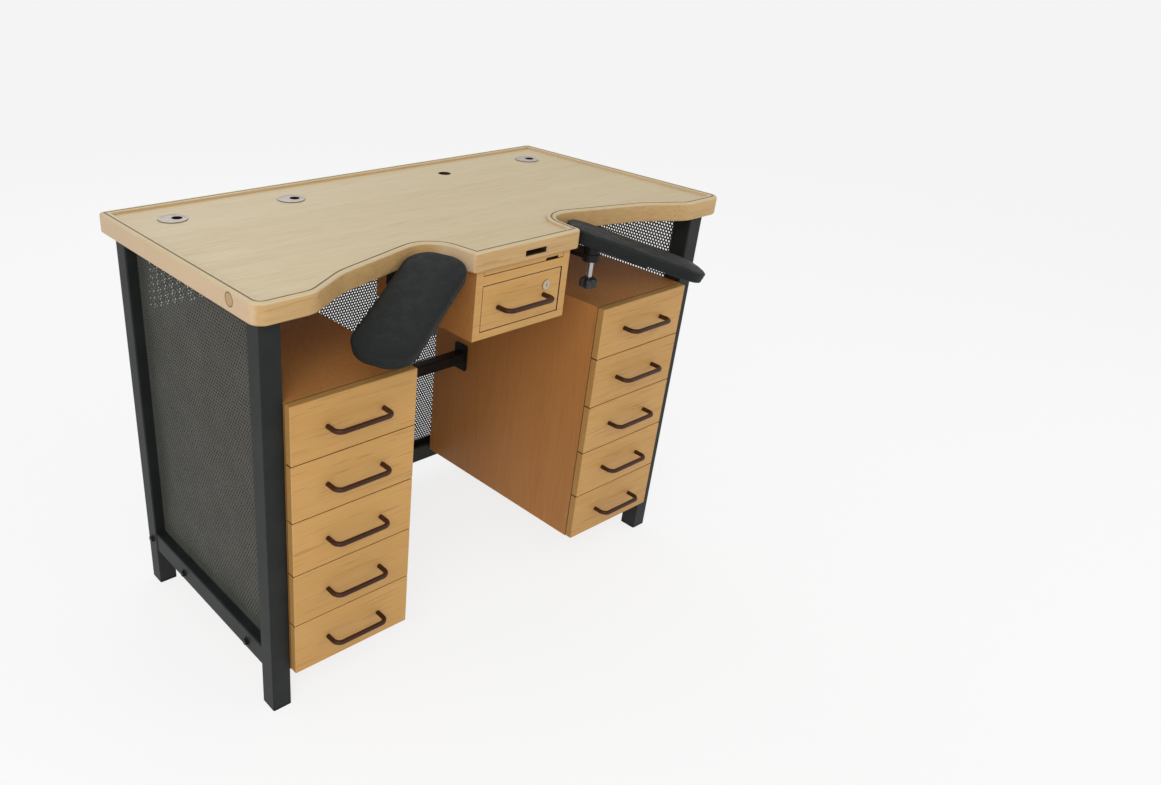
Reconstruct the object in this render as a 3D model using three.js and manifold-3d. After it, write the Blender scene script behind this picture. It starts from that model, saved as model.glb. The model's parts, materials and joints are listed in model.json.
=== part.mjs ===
// Watchmaker's and jeweller's bench on a steel frame: beech worktop with a raised lip and two arm
// cut-outs, two pedestals of drawers, a locking centre drawer, a pull-out tray and swivelling armrests.
// Millimetres, +Z up, the user sits on the -Y side. The origin is on the floor, under the middle.

import * as THREE from 'three';
import { mergeVertices } from 'three/addons/utils/BufferGeometryUtils.js';
import Module from 'manifold-3d';

const wasm = await Module();
wasm.setup();

// Driving dimensions
const fit = 0.3; // gap between faces that are glued, bolted or rest on each other
const samePoint = 1e-4; // points of an outline nearer than this are one
const past = 1; // how far a cutter runs past the face that it opens, and a joined piece into its neighbour

const top = {
  length: 1200, depth: 606, height: 886, thickness: 40, edgeRound: 5,
  lipWidth: 20, lipHeight: 5, frontCorner: 55, backCorner: 12,
};
const cutOut = {
  wing: 114, tongueHalf: 139, tongueCorner: 8, tongueLean: 13, depth: 119, innerRadius: 54,
  kneeRun: 91, kneeDepth: 52, kneeRadius: 150, mouthRadius: 60,
};
const benchPin = { offset: 18, width: 58, height: 12, depth: 60, belowTop: 24 };
const cable = {
  bore: 54.6, fromEnd: 110, fromRear: 107, fromMiddle: 215, bareHole: 30,
  flangeLap: 2.7, flangeHeight: 2, flangeEase: 1, flangeSlope: 2, collar: 14, wireHole: 22, wireOffset: 9,
};
const overhang = { side: 20, front: 26 };
const leg = { size: 42, wall: 2, round: 3, foot: 4 };
const sideRail = { bottom: 93, height: 48, width: 40, wall: 2 };
const rearRail = { bottom: 58, height: 48, width: 30, wall: 2, inset: 1 };
const panel = {
  sheet: 1.5, flange: 14, sideGap: 2.5, rearInset: 12, border: 28, openingPitch: 140, rib: 34,
};
const pedestal = {
  width: 280, rearGap: 9.5, floorGap: 91, wall: 16, back: 6, drawers: 5, pitch: 119.4,
};
const front = { thickness: 18, reveal: 1.4, sideMargin: 0.5, corner: 2, ease: 1.5 };
const box = { headroom: 3.1, rearGap: 51, wall: 12, base: 6, sideGap: 1 };
const runner = { width: 14, height: 12, setBack: 1 };
const handle = { centres: 124, reach: 32, rod: 10, bend: 15 };
const stretcher = {
  height: 418, fromRear: 104, bar: 30, round: 4, plateWidth: 44, plateHeight: 70, plate: 5,
};
const housing = {
  width: 250, depth: 300, setBack: 10, wall: 18, floor: 15, drawerBay: 94, shelf: 18.5, trayBay: 13.2, back: 6,
};
const tray = {
  thickness: 12, rearGap: 24, rim: 14, recess: 5, sideGap: 0.8, notchWidth: 34, notchDepth: 9, notchRoof: 1,
};
const centreDrawer = { reveal: 1.2, setBack: 1, rearGap: 5, headroom: 24, handleDrop: 4 };
const lock = {
  offset: 66, belowShelf: 31, bore: 15.6, flangeLap: 2.2, flangeHeight: 2.5, camWidth: 10, camThick: 3,
  camReach: 38, camGap: 1.2, keySlot: 1.6, keyLength: 9, keyDepth: 1.5,
};
const armrest = {
  sideGap: 18, rearGap: 27, belowTop: 50, pitch: 18, yawLeft: 27, yawRight: 37, rollLeft: -4, rollRight: -2,
  length: 305, width: 122, thickness: 28, endFlat: 22, heel: 2,
  tuck: 3, tuckHeight: 8, edgeRound: 6, dome: 3,
};
const bracket = {
  belowSeat: 22, bossHeight: 15, boss: 36, bar: 8, width: 40, setBack: 8, footLength: 58,
};
const block = {
  plate: 5, plateInner: 40, plateOuter: 120, plateWidth: 66, plateCorner: 8, hub: 32, socketSpare: 1,
};
const knob = { rod: 12, drop: 37, star: 19, lobes: 5, lobeDepth: 2.7, height: 22, ease: 3, engage: 8 };

// Finishes
const finishes = {
  beech: { color: 0xd0b98a, roughness: 0.55, metalness: 0 },
  veneer: { color: 0xc39a62, roughness: 0.6, metalness: 0 },
  plywood: { color: 0xb98d58, roughness: 0.7, metalness: 0 },
  slatePaint: { color: 0x343a39, roughness: 0.55, metalness: 0.3 },
  blackPaint: { color: 0x14110f, roughness: 0.5, metalness: 0.3 },
  brownRod: { color: 0x2c1710, roughness: 0.4, metalness: 0.4 },
  leatherette: { color: 0x2b3031, roughness: 0.65, metalness: 0 },
  chrome: { color: 0xc9cbcd, roughness: 0.15, metalness: 1 },
  blackPlastic: { color: 0x161514, roughness: 0.5, metalness: 0 },
  silverPlastic: { color: 0xc3c3c6, roughness: 0.35, metalness: 0.4 },
};

// Places that follow from the dimensions
const halfLength = top.length / 2;
const halfDepth = top.depth / 2;
const underside = top.height - top.thickness;
const cableY = halfDepth - cable.fromRear;
const legOuterX = halfLength - overhang.side;
const legInnerX = legOuterX - leg.size;
const legFrontY = overhang.front - halfDepth;
const legRearY = -legFrontY;
const frameFrontY = legFrontY + leg.size;
const frameRearY = legRearY - leg.size;
const pedestalOuterX = legInnerX - fit;
const pedestalInnerX = pedestalOuterX - pedestal.width;
const pedestalHeight = pedestal.drawers * pedestal.pitch;
const panelDepth = panel.sheet + panel.flange;
const rearPanelY = legRearY - panel.rearInset;
const pedestalDepth = rearPanelY - panelDepth - pedestal.rearGap - legFrontY;
const housingFrontY = housing.setBack - halfDepth;
const housingRear = housing.depth - housing.back;
const housingHeight = housing.trayBay + housing.shelf + housing.drawerBay + housing.floor;
const housingTop = underside - fit;
const shelfTop = housingTop - housing.trayBay;
const drawerBayTop = shelfTop - housing.shelf;
const drawerBayBottom = drawerBayTop - housing.drawerBay;
const drawerMiddle = (drawerBayTop + drawerBayBottom) / 2;
const lockHeight = drawerBayTop - lock.belowShelf;
const bayHalf = housing.width / 2 - housing.wall;
const swivelX = cutOut.tongueHalf + armrest.sideGap + armrest.width / 2;
const swivelY = cutOut.depth - halfDepth - armrest.rearGap - armrest.width / 2;
const seatHeight = top.height - armrest.belowTop;
const bossTop = seatHeight - bracket.belowSeat;
const bossBottom = bossTop - bracket.bossHeight;
const rodBore = knob.rod + 2 * fit;

// Solids: closed meshes are joined and cut as manifolds
function toSolid(geometry) {
  const bare = geometry.clone();
  bare.deleteAttribute('normal');
  bare.deleteAttribute('uv');
  const merged = mergeVertices(bare, samePoint);
  return new wasm.Manifold(new wasm.Mesh({
    numProp: 3,
    vertProperties: Float32Array.from(merged.attributes.position.array),
    triVerts: Uint32Array.from(merged.index.array),
  }));
}

function toGeometry(solid) {
  const mesh = solid.getMesh();
  const geometry = new THREE.BufferGeometry();
  geometry.setAttribute('position', new THREE.BufferAttribute(mesh.vertProperties, 3));
  geometry.setIndex(new THREE.BufferAttribute(mesh.triVerts, 1));
  geometry.computeVertexNormals();
  return geometry;
}

function join(first, ...others) {
  return others.reduce((solid, piece) => solid.add(toSolid(piece)), toSolid(first));
}

function cut(solid, ...tools) {
  return tools.reduce((rest, tool) => rest.subtract(toSolid(tool)), solid);
}

function slab([x0, x1], [y0, y1], [z0, z1]) {
  const geometry = new THREE.BoxGeometry(x1 - x0, y1 - y0, z1 - z0);
  return geometry.translate((x0 + x1) / 2, (y0 + y1) / 2, (z0 + z1) / 2);
}

// Upright cylinder from z0 to z1
function disc(radius, z0, z1, x = 0, y = 0, sides = 24) {
  const geometry = new THREE.CylinderGeometry(radius, radius, z1 - z0, sides);
  return geometry.rotateX(Math.PI / 2).translate(x, y, (z0 + z1) / 2);
}

// Outline of straight edges with filleted corners, counter-clockwise, drawn in by an even inset.
// Outward corners lose the inset from their radius and inward corners gain it.
function roundedOutline(corners, inset = 0) {
  const count = corners.length;
  const edges = corners.map((corner, i) => {
    const next = corners[(i + 1) % count];
    const along = new THREE.Vector2(next.x - corner.x, next.y - corner.y).normalize();
    const inward = new THREE.Vector2(-along.y, along.x);
    const start = new THREE.Vector2(corner.x, corner.y).addScaledVector(inward, inset);
    return { along, inward, start };
  });
  const shape = new THREE.Shape();
  corners.forEach((corner, i) => {
    const before = edges[(i + count - 1) % count];
    const after = edges[i];
    const bend = before.along.cross(after.along);
    const slide = after.start.clone().sub(before.start).cross(after.along) / bend;
    const point = before.start.clone().addScaledVector(before.along, slide);
    const turn = Math.atan2(bend, before.along.dot(after.along));
    const radius = turn > 0 ? Math.max(corner.r - inset, 1) : corner.r + inset;
    const tangent = radius * Math.tan(Math.abs(turn) / 2);
    const enter = point.clone().addScaledVector(before.along, -tangent);
    const side = Math.sign(turn);
    const centre = enter.clone().addScaledVector(before.inward, side * radius);
    const from = Math.atan2(enter.y - centre.y, enter.x - centre.x);
    if (i === 0) shape.moveTo(enter.x, enter.y);
    else shape.lineTo(enter.x, enter.y);
    shape.absarc(centre.x, centre.y, radius, from, from + turn, turn < 0);
  });
  shape.closePath();
  return shape;
}

function rectangle(width, height, radius, inset = 0) {
  const x = width / 2;
  const y = height / 2;
  const corners = [[-x, -y], [x, -y], [x, y], [-x, y]].map(([cx, cy]) => ({ x: cx, y: cy, r: radius }));
  return roundedOutline(corners, inset);
}

function extrude(shape, depth, curveSegments = 3) {
  return new THREE.ExtrudeGeometry(shape, { depth, bevelEnabled: false, curveSegments });
}

// Plate with eased edges, from z = 0 up to its thickness
function easedPlate(shape, thickness, ease, bevelSegments, curveSegments) {
  const geometry = new THREE.ExtrudeGeometry(shape, {
    depth: thickness - 2 * ease,
    bevelThickness: ease,
    bevelSize: ease,
    bevelOffset: -ease,
    bevelSegments,
    curveSegments,
  });
  return geometry.translate(0, 0, ease);
}

// Square or oblong tube along +Z
function tube(width, height, wall, round, length) {
  const shape = rectangle(width, height, round);
  shape.holes.push(rectangle(width, height, round, wall));
  return extrude(shape, length, 1);
}

const bench = new THREE.Group();

function add(parent, name, solid, finish) {
  const geometry = solid.isBufferGeometry ? solid : toGeometry(solid);
  const mesh = new THREE.Mesh(geometry, new THREE.MeshStandardMaterial(finishes[finish]));
  mesh.name = name;
  parent.add(mesh);
  return mesh;
}

const sides = [['left', -1], ['right', 1]];

// Worktop: a rounded slab with a bow-shaped cut-out for each forearm, so that a tongue stands between
// them, and with a recess that leaves a lip all round
function worktopCorners() {
  const y = -halfDepth;
  const mouthX = halfLength - cutOut.wing;
  const kneeX = mouthX - cutOut.kneeRun;
  const half = [
    { x: cutOut.tongueHalf, y, r: cutOut.tongueCorner },
    { x: cutOut.tongueHalf + cutOut.tongueLean, y: y + cutOut.depth, r: cutOut.innerRadius },
    { x: kneeX, y: y + cutOut.kneeDepth, r: cutOut.kneeRadius },
    { x: mouthX, y, r: cutOut.mouthRadius },
    { x: halfLength, y, r: top.frontCorner },
    { x: halfLength, y: halfDepth, r: top.backCorner },
  ];
  const mirrored = half.map((corner) => ({ ...corner, x: -corner.x })).reverse();
  return [...half, ...mirrored];
}

const cableSpots = [
  ['grommet_left', cable.fromEnd - halfLength],
  ['grommet_middle', -cable.fromMiddle],
  ['grommet_right', halfLength - cable.fromEnd],
];

function worktop() {
  const corners = worktopCorners();
  const recessFloor = top.thickness - top.lipHeight;
  const recess = extrude(roundedOutline(corners, top.lipWidth), top.lipHeight + past, 4);
  const pinZ = top.thickness - benchPin.belowTop;
  const mortise = slab(
    [benchPin.offset - benchPin.width / 2, benchPin.offset + benchPin.width / 2],
    [-halfDepth - past, benchPin.depth - halfDepth],
    [pinZ - benchPin.height / 2, pinZ + benchPin.height / 2],
  );
  const bores = cableSpots.map(([, x]) => disc(cable.bore / 2, -past, top.thickness, x, cableY));
  const bare = disc(cable.bareHole / 2, -past, top.thickness, cable.fromMiddle, cableY, 16);
  const body = toSolid(easedPlate(roundedOutline(corners), top.thickness, top.edgeRound, 2, 4));
  return cut(body, recess.translate(0, 0, recessFloor), mortise, ...bores, bare);
}

add(bench, 'worktop', worktop(), 'beech').position.z = underside;

// Cable grommets: a flanged collar that drops into its bore, with a wire hole beside the middle
function grommet() {
  const collar = cable.bore / 2 - fit;
  const flange = cable.bore / 2 + cable.flangeLap;
  const profile = [
    [0, -cable.collar], [collar, -cable.collar], [collar, fit], [flange, fit],
    [flange, cable.flangeHeight - cable.flangeEase], [flange - cable.flangeSlope, cable.flangeHeight],
    [0, cable.flangeHeight],
  ];
  const outline = profile.map(([radius, height]) => new THREE.Vector2(radius, height));
  const body = new THREE.LatheGeometry(outline, 24).rotateX(Math.PI / 2);
  const bottom = -cable.collar - past;
  const wire = disc(cable.wireHole / 2, bottom, cable.flangeHeight + past, cable.wireOffset, 0, 16);
  return cut(toSolid(body), wire);
}

cableSpots.forEach(([name, x]) => {
  add(bench, name, grommet(), 'silverPlastic').position.set(x, cableY, top.height - top.lipHeight);
});

// Legs: square tube, open under the worktop and closed by a foot
function legTube() {
  const height = underside - fit;
  const foot = extrude(rectangle(leg.size, leg.size, leg.round), leg.foot, 1);
  return join(tube(leg.size, leg.size, leg.wall, leg.round, height), foot);
}

const legCentreX = legOuterX - leg.size / 2;
const legCentreY = legRearY - leg.size / 2;
sides.forEach(([side, sign]) => {
  add(bench, `leg_front_${side}`, legTube(), 'slatePaint').position.set(sign * legCentreX, -legCentreY, 0);
  add(bench, `leg_rear_${side}`, legTube(), 'slatePaint').position.set(sign * legCentreX, legCentreY, 0);
});

// Rails between the legs
const sideRailLength = frameRearY - frameFrontY - 2 * fit;
const rearRailLength = 2 * (legInnerX - fit);

sides.forEach(([side, sign]) => {
  const rail = tube(sideRail.width, sideRail.height, sideRail.wall, leg.round, sideRailLength);
  const mesh = add(bench, `side_rail_${side}`, rail.rotateX(Math.PI / 2), 'slatePaint');
  const x = sign * (legInnerX + sideRail.width / 2);
  mesh.position.set(x, frameRearY - fit, sideRail.bottom + sideRail.height / 2);
});

const rearRailTube = tube(rearRail.height, rearRail.width, rearRail.wall, leg.round, rearRailLength);
const rearRailMesh = add(bench, 'rear_rail', rearRailTube.rotateY(Math.PI / 2), 'slatePaint');
const rearRailY = legRearY - rearRail.inset - rearRail.width / 2;
rearRailMesh.position.set(-rearRailLength / 2, rearRailY, rearRail.bottom + rearRail.height / 2);

// Openwork of a panel: staggered rows of hexagons that fill the sheet up to its border, as a coarse
// stand-in for the fine round perforation
function openings(width, height) {
  const span = width - 2 * panel.border;
  const rise = height - 2 * panel.border;
  const across = Math.round(span / panel.openingPitch);
  const pitch = span / across;
  const rows = Math.round(rise / (pitch * Math.cos(Math.PI / 6)));
  const radius = (pitch - panel.rib) / Math.sqrt(3);
  const hexagons = [];
  for (let row = 0; row < rows; row += 1) {
    const count = across - row % 2;
    const z = panel.border + (row + 0.5) * rise / rows;
    for (let i = 0; i < count; i += 1) {
      const hexagon = new THREE.CylinderGeometry(radius, radius, panel.sheet + 2 * past, 6);
      hexagons.push(hexagon.translate((i - (count - 1) / 2) * pitch, panel.sheet / 2, z));
    }
  }
  return hexagons;
}

// Sheet panels with a flange folded inwards all round, standing on the rails
function pan(width, height) {
  const half = width / 2;
  const inside = half - panel.sheet;
  const fold = slab([-inside, inside], [panel.sheet, panelDepth + past], [panel.sheet, height - panel.sheet]);
  return cut(toSolid(slab([-half, half], [0, panelDepth], [0, height])), fold, ...openings(width, height));
}

const sidePanelBottom = sideRail.bottom + sideRail.height + fit;
const sidePanelHeight = underside - fit - sidePanelBottom;
const sidePanelX = legInnerX + panel.sideGap + panelDepth;
sides.forEach(([side, sign]) => {
  const sheet = add(bench, `side_panel_${side}`, pan(sideRailLength, sidePanelHeight), 'slatePaint');
  sheet.rotation.z = sign * Math.PI / 2;
  sheet.position.set(sign * sidePanelX, 0, sidePanelBottom);
});

const rearPanelBottom = rearRail.bottom + rearRail.height + fit;
const rearPanelHeight = underside - fit - rearPanelBottom;
const rearSheet = add(bench, 'rear_panel', pan(rearRailLength, rearPanelHeight), 'slatePaint');
rearSheet.rotation.z = Math.PI;
rearSheet.position.set(0, rearPanelY, rearPanelBottom);

// Pedestal carcass: open in front, with a pair of runners for every drawer
function carcass() {
  const half = pedestal.width / 2;
  const inner = half - pedestal.wall;
  const rear = pedestalDepth - pedestal.back;
  let body = cut(
    toSolid(slab([-half, half], [0, pedestalDepth], [0, pedestalHeight])),
    slab([-inner, inner], [-past, rear], [pedestal.wall, pedestalHeight - pedestal.wall]),
  );
  for (let i = 0; i < pedestal.drawers; i += 1) {
    const z = i * pedestal.pitch + pedestal.wall;
    const bottom = i === 0 ? z - past : z; // the lowest runner is sunk into the floor board
    for (const left of [-inner - past, inner - runner.width]) {
      const across = [left, left + runner.width + past];
      body = body.add(toSolid(slab(across, [runner.setBack, rear + past], [bottom, z + runner.height])));
    }
  }
  return body;
}

// Drawer pieces: an overlay front, a tray-like box and a bent rod handle
function frontBoard() {
  const width = pedestal.width - 2 * front.sideMargin;
  const height = pedestal.pitch - front.reveal;
  const plate = easedPlate(rectangle(width, height, front.corner), front.thickness, front.ease, 1, 1);
  return plate.rotateX(Math.PI / 2);
}

function openBox(width, depth, height) {
  const half = width / 2;
  const hollow = slab(
    [box.wall - half, half - box.wall], [box.wall, depth - box.wall], [box.base, height + past],
  );
  return cut(toSolid(slab([-half, half], [0, depth], [0, height])), hollow);
}

function rodHandle() {
  const x = handle.centres / 2;
  const out = -handle.reach;
  const turn = out + handle.bend;
  const at = (px, py) => new THREE.Vector3(px, py, 0);
  const path = new THREE.CurvePath();
  path.add(new THREE.LineCurve3(at(-x, 0), at(-x, turn)));
  path.add(new THREE.QuadraticBezierCurve3(at(-x, turn), at(-x, out), at(handle.bend - x, out)));
  path.add(new THREE.LineCurve3(at(handle.bend - x, out), at(x - handle.bend, out)));
  path.add(new THREE.QuadraticBezierCurve3(at(x - handle.bend, out), at(x, out), at(x, turn)));
  path.add(new THREE.LineCurve3(at(x, turn), at(x, 0)));
  const section = new THREE.Shape().absarc(0, 0, handle.rod / 2, 0, 2 * Math.PI);
  return new THREE.ExtrudeGeometry(section, { steps: 20, curveSegments: 4, extrudePath: path });
}

const boxWidth = pedestal.width - 2 * (pedestal.wall + box.sideGap);
const boxDepth = pedestalDepth - pedestal.back - box.rearGap;
const boxHeight = pedestal.pitch - 2 * pedestal.wall - runner.height - fit - box.headroom;

sides.forEach(([side, sign]) => {
  const tower = new THREE.Group();
  tower.position.set(sign * (pedestalInnerX + pedestal.width / 2), legFrontY, pedestal.floorGap);
  bench.add(tower);
  add(tower, `pedestal_${side}`, carcass(), 'veneer');
  for (let i = 0; i < pedestal.drawers; i += 1) {
    const number = pedestal.drawers - i; // the top drawer is number 1
    const z = i * pedestal.pitch;
    const middleZ = z + pedestal.pitch / 2;
    const floorZ = z + pedestal.wall + runner.height + fit;
    add(tower, `drawer_front_${side}_${number}`, frontBoard(), 'veneer').position.set(0, -fit, middleZ);
    const tub = add(tower, `drawer_box_${side}_${number}`, openBox(boxWidth, boxDepth, boxHeight), 'plywood');
    tub.position.z = floorZ;
    const grip = add(tower, `drawer_handle_${side}_${number}`, rodHandle(), 'brownRod');
    grip.position.set(0, -front.thickness - 2 * fit, middleZ);
  }
});

// Stretcher between the pedestals: a square tube with a screwed plate at each end
function stretcherBar() {
  const half = pedestalInnerX - fit;
  const section = rectangle(stretcher.bar, stretcher.bar, stretcher.round);
  const bar = extrude(section, 2 * half - stretcher.plate, 2);
  bar.rotateY(Math.PI / 2).translate(stretcher.plate / 2 - half, 0, 0);
  const plates = [-half, half - stretcher.plate].map((x) => {
    const outline = rectangle(stretcher.plateHeight, stretcher.plateWidth, stretcher.round);
    return extrude(outline, stretcher.plate, 2).rotateY(Math.PI / 2).translate(x, 0, 0);
  });
  return join(bar, ...plates);
}

const stretcherY = legFrontY + pedestalDepth - stretcher.fromRear;
add(bench, 'stretcher', stretcherBar(), 'blackPaint').position.set(0, stretcherY, stretcher.height);

// Centre housing under the tongue: a bay for the tray above a bay for the locking drawer, with a
// mortise in the shelf between them that the lock's cam turns up into
function strikeMortise() {
  const x = lock.offset;
  const camY = centreDrawer.setBack + front.thickness + fit;
  return slab(
    [x - lock.camReach - lock.camGap, x + lock.camWidth],
    [camY - lock.camGap, camY + lock.camThick + lock.camGap],
    [drawerBayTop - past, lockHeight + lock.camReach + lock.camGap],
  );
}

function centreHousing() {
  const half = housing.width / 2;
  const shell = toSolid(slab([-half, half], [0, housing.depth], [housingTop - housingHeight, housingTop]));
  const trayBay = slab([-bayHalf, bayHalf], [-past, housingRear], [shelfTop, housingTop + past]);
  const drawerBay = slab([-bayHalf, bayHalf], [-past, housingRear], [drawerBayBottom, drawerBayTop]);
  return cut(shell, trayBay, drawerBay, strikeMortise());
}

const nest = new THREE.Group();
nest.position.y = housingFrontY;
bench.add(nest);
add(nest, 'centre_housing', centreHousing(), 'veneer');

// Pull-out tray: a shallow board with a rim and a finger notch
function pullOutTray() {
  const half = bayHalf - tray.sideGap;
  const inside = half - tray.rim;
  const depth = housingRear - tray.rearGap;
  const floor = tray.thickness - tray.recess;
  const board = toSolid(slab([-half, half], [0, depth], [0, tray.thickness]));
  const hollow = slab([-inside, inside], [tray.rim, depth - tray.rim], [floor, tray.thickness + past]);
  const notch = slab(
    [inside - tray.notchWidth, inside], [-past, tray.notchDepth], [-past, floor - tray.notchRoof],
  );
  return cut(board, hollow, notch);
}

add(nest, 'pull_out_tray', pullOutTray(), 'veneer').position.z = shelfTop + fit;

// Centre drawer: inset front with the lock bore, box behind it
function centreDrawerBody() {
  const half = bayHalf - centreDrawer.reveal;
  const inside = half - box.wall;
  const frontY = centreDrawer.setBack;
  const boxY = frontY + front.thickness;
  const rear = housingRear - centreDrawer.rearGap;
  const floorZ = drawerBayBottom + fit;
  const rim = drawerBayTop - centreDrawer.headroom;
  const face = slab([-half, half], [frontY, boxY], [floorZ, drawerBayTop - centreDrawer.reveal]);
  const hull = toSolid(slab([-half, half], [boxY - past, rear], [floorZ, rim]));
  const hollow = slab([-inside, inside], [boxY, rear - box.wall], [floorZ + box.base, rim + past]);
  const bore = disc(lock.bore / 2, -past, front.thickness + past).rotateX(-Math.PI / 2);
  return cut(cut(hull, hollow).add(toSolid(face)), bore.translate(lock.offset, frontY, lockHeight));
}

add(nest, 'centre_drawer', centreDrawerBody(), 'veneer');
const centreGrip = add(nest, 'centre_drawer_handle', rodHandle(), 'brownRod');
centreGrip.position.set(0, centreDrawer.setBack - fit, drawerMiddle - centreDrawer.handleDrop);

// Drawer lock: flanged barrel with a key slot, and behind the front a cam that turns up into the shelf
function camLock() {
  const back = front.thickness + fit;
  const face = -fit - lock.flangeHeight;
  const halfCam = lock.camWidth / 2;
  const barrel = disc(lock.bore / 2 - fit, -fit - past, back + past, 0, 0, 20);
  const flange = disc(lock.bore / 2 + lock.flangeLap, face, -fit);
  const cam = slab([-lock.camReach, halfCam], [-halfCam, halfCam], [back, back + lock.camThick]);
  const slot = slab(
    [-lock.keySlot / 2, lock.keySlot / 2], [-lock.keyLength / 2, lock.keyLength / 2],
    [face - past, face + lock.keyDepth],
  );
  return toGeometry(cut(join(barrel, flange, cam), slot)).rotateX(-Math.PI / 2);
}

const drawerLock = add(nest, 'centre_drawer_lock', camLock(), 'chrome');
drawerLock.position.set(lock.offset, centreDrawer.setBack, lockHeight);

const { degToRad } = THREE.MathUtils;
const padPitch = degToRad(armrest.pitch);

// Armrest pad: an oblong cushion tucked in below, with a full side, a round upper edge and a low dome.
// Each ring of the cushion is its outline drawn in by an inset at a height.
function padRings() {
  const quarter = Math.PI / 2;
  const shoulder = armrest.thickness - armrest.dome;
  const inner = armrest.width / 2 - armrest.edgeRound;
  const tucked = [0, 0.5, 1].map((share) => [
    armrest.tuck * (1 - Math.sin(share * quarter)), armrest.tuckHeight * (1 - Math.cos(share * quarter)),
  ]);
  const edge = [0, 0.35, 0.7, 1].map((share) => [
    armrest.edgeRound * (1 - Math.cos(share * quarter)),
    shoulder - armrest.edgeRound * (1 - Math.sin(share * quarter)),
  ]);
  const domed = [0.35, 0.7].map((share) => [
    armrest.edgeRound + share * inner, shoulder + armrest.dome * (1 - (1 - share) ** 2),
  ]);
  return [...tucked, ...edge, ...domed];
}

function padCushion() {
  const corner = (armrest.width - armrest.endFlat) / 2;
  const rings = padRings().map(([inset, height]) => {
    const drawn = rectangle(armrest.length, armrest.width, corner, inset).getPoints(5);
    const points = drawn.filter((point, i) => point.distanceTo(drawn[(i + 1) % drawn.length]) > samePoint);
    return points.map((point) => [point.x, point.y, height]);
  });
  const count = rings[0].length;
  const bottom = rings.length * count;
  const crown = bottom + 1;
  const last = bottom - count;
  const positions = [...rings.flat(2), 0, 0, 0, 0, 0, armrest.thickness];
  const index = [];
  for (let i = 0; i < count; i += 1) {
    const j = (i + 1) % count;
    index.push(bottom, j, i);
    for (let low = 0; low < last; low += count) {
      const high = low + count;
      index.push(low + i, low + j, high + j, low + i, high + j, high + i);
    }
    index.push(crown, last + i, last + j);
  }
  const geometry = new THREE.BufferGeometry();
  geometry.setAttribute('position', new THREE.Float32BufferAttribute(positions, 3));
  geometry.setIndex(index);
  geometry.computeVertexNormals();
  const innerEnd = armrest.width / 2 + armrest.heel;
  return geometry.translate(armrest.length / 2 - innerEnd, 0, 0);
}

// Swivel block: a tilted plate under the pad on an upright hub with a blind socket for the clamp rod
function swivelBlock(roll) {
  const reach = block.plateInner + block.plateOuter;
  const lean = (geometry) => geometry.rotateX(roll).rotateY(padPitch).translate(0, 0, seatHeight);
  const plate = extrude(rectangle(reach, block.plateWidth, block.plateCorner), block.plate, 2);
  plate.translate(reach / 2 - block.plateInner, 0, -fit - block.plate);
  const above = slab([-reach, reach], [-reach, reach], [-fit - block.plate / 2, reach]);
  const hubBottom = bossTop + fit;
  const socketTop = bossTop + knob.engage + block.socketSpare;
  const hub = cut(toSolid(disc(block.hub / 2, hubBottom, seatHeight + block.hub)), lean(above));
  const socket = disc(rodBore / 2, hubBottom - past, socketTop, 0, 0, 16);
  return cut(hub.add(toSolid(lean(plate))), socket);
}

// Bracket: a flat bar bent twice, from a foot under the worktop behind the cut-out down and forward to
// an upright boss round the clamp rod
function swivelBracket() {
  const webY = cutOut.depth - halfDepth + bracket.setBack - swivelY;
  const footTop = underside - fit;
  const armBottom = bossTop - bracket.bar;
  const side = new THREE.Shape();
  side.moveTo(0, armBottom);
  side.lineTo(webY + bracket.bar, armBottom);
  side.lineTo(webY + bracket.bar, footTop - bracket.bar);
  side.lineTo(webY + bracket.footLength, footTop - bracket.bar);
  side.lineTo(webY + bracket.footLength, footTop);
  side.lineTo(webY, footTop);
  side.lineTo(webY, bossTop);
  side.lineTo(0, bossTop);
  side.closePath();
  const bar = extrude(side, bracket.width).rotateX(Math.PI / 2).rotateZ(Math.PI / 2);
  const boss = disc(bracket.boss / 2, bossBottom, bossTop);
  const bore = disc(rodBore / 2, bossBottom - past, bossTop + past, 0, 0, 16);
  return cut(join(bar.translate(-bracket.width / 2, 0, 0), boss), bore);
}

// Clamp knob: a lobed hand knob on a plain rod that runs up through the boss into the socket
function starKnob() {
  const knobTop = bossBottom - knob.drop;
  const steps = knob.lobes * 8;
  const points = [];
  for (let i = 0; i < steps; i += 1) {
    const angle = (2 * Math.PI * i) / steps;
    const radius = knob.star - knob.lobeDepth * (1 - Math.cos(knob.lobes * angle));
    points.push(new THREE.Vector2(radius * Math.cos(angle), radius * Math.sin(angle)));
  }
  const star = easedPlate(new THREE.Shape(points), knob.height, knob.ease, 1, 1);
  const rod = disc(knob.rod / 2, knobTop - past, bossTop + knob.engage, 0, 0, 16);
  return join(star.translate(0, 0, knobTop - knob.height), rod);
}

// Each pad's direction, seen from above, and its roll about its own length
const padTurn = { left: Math.PI + degToRad(armrest.yawLeft), right: -degToRad(armrest.yawRight) };
const padRoll = { left: degToRad(armrest.rollLeft), right: degToRad(armrest.rollRight) };

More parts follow.
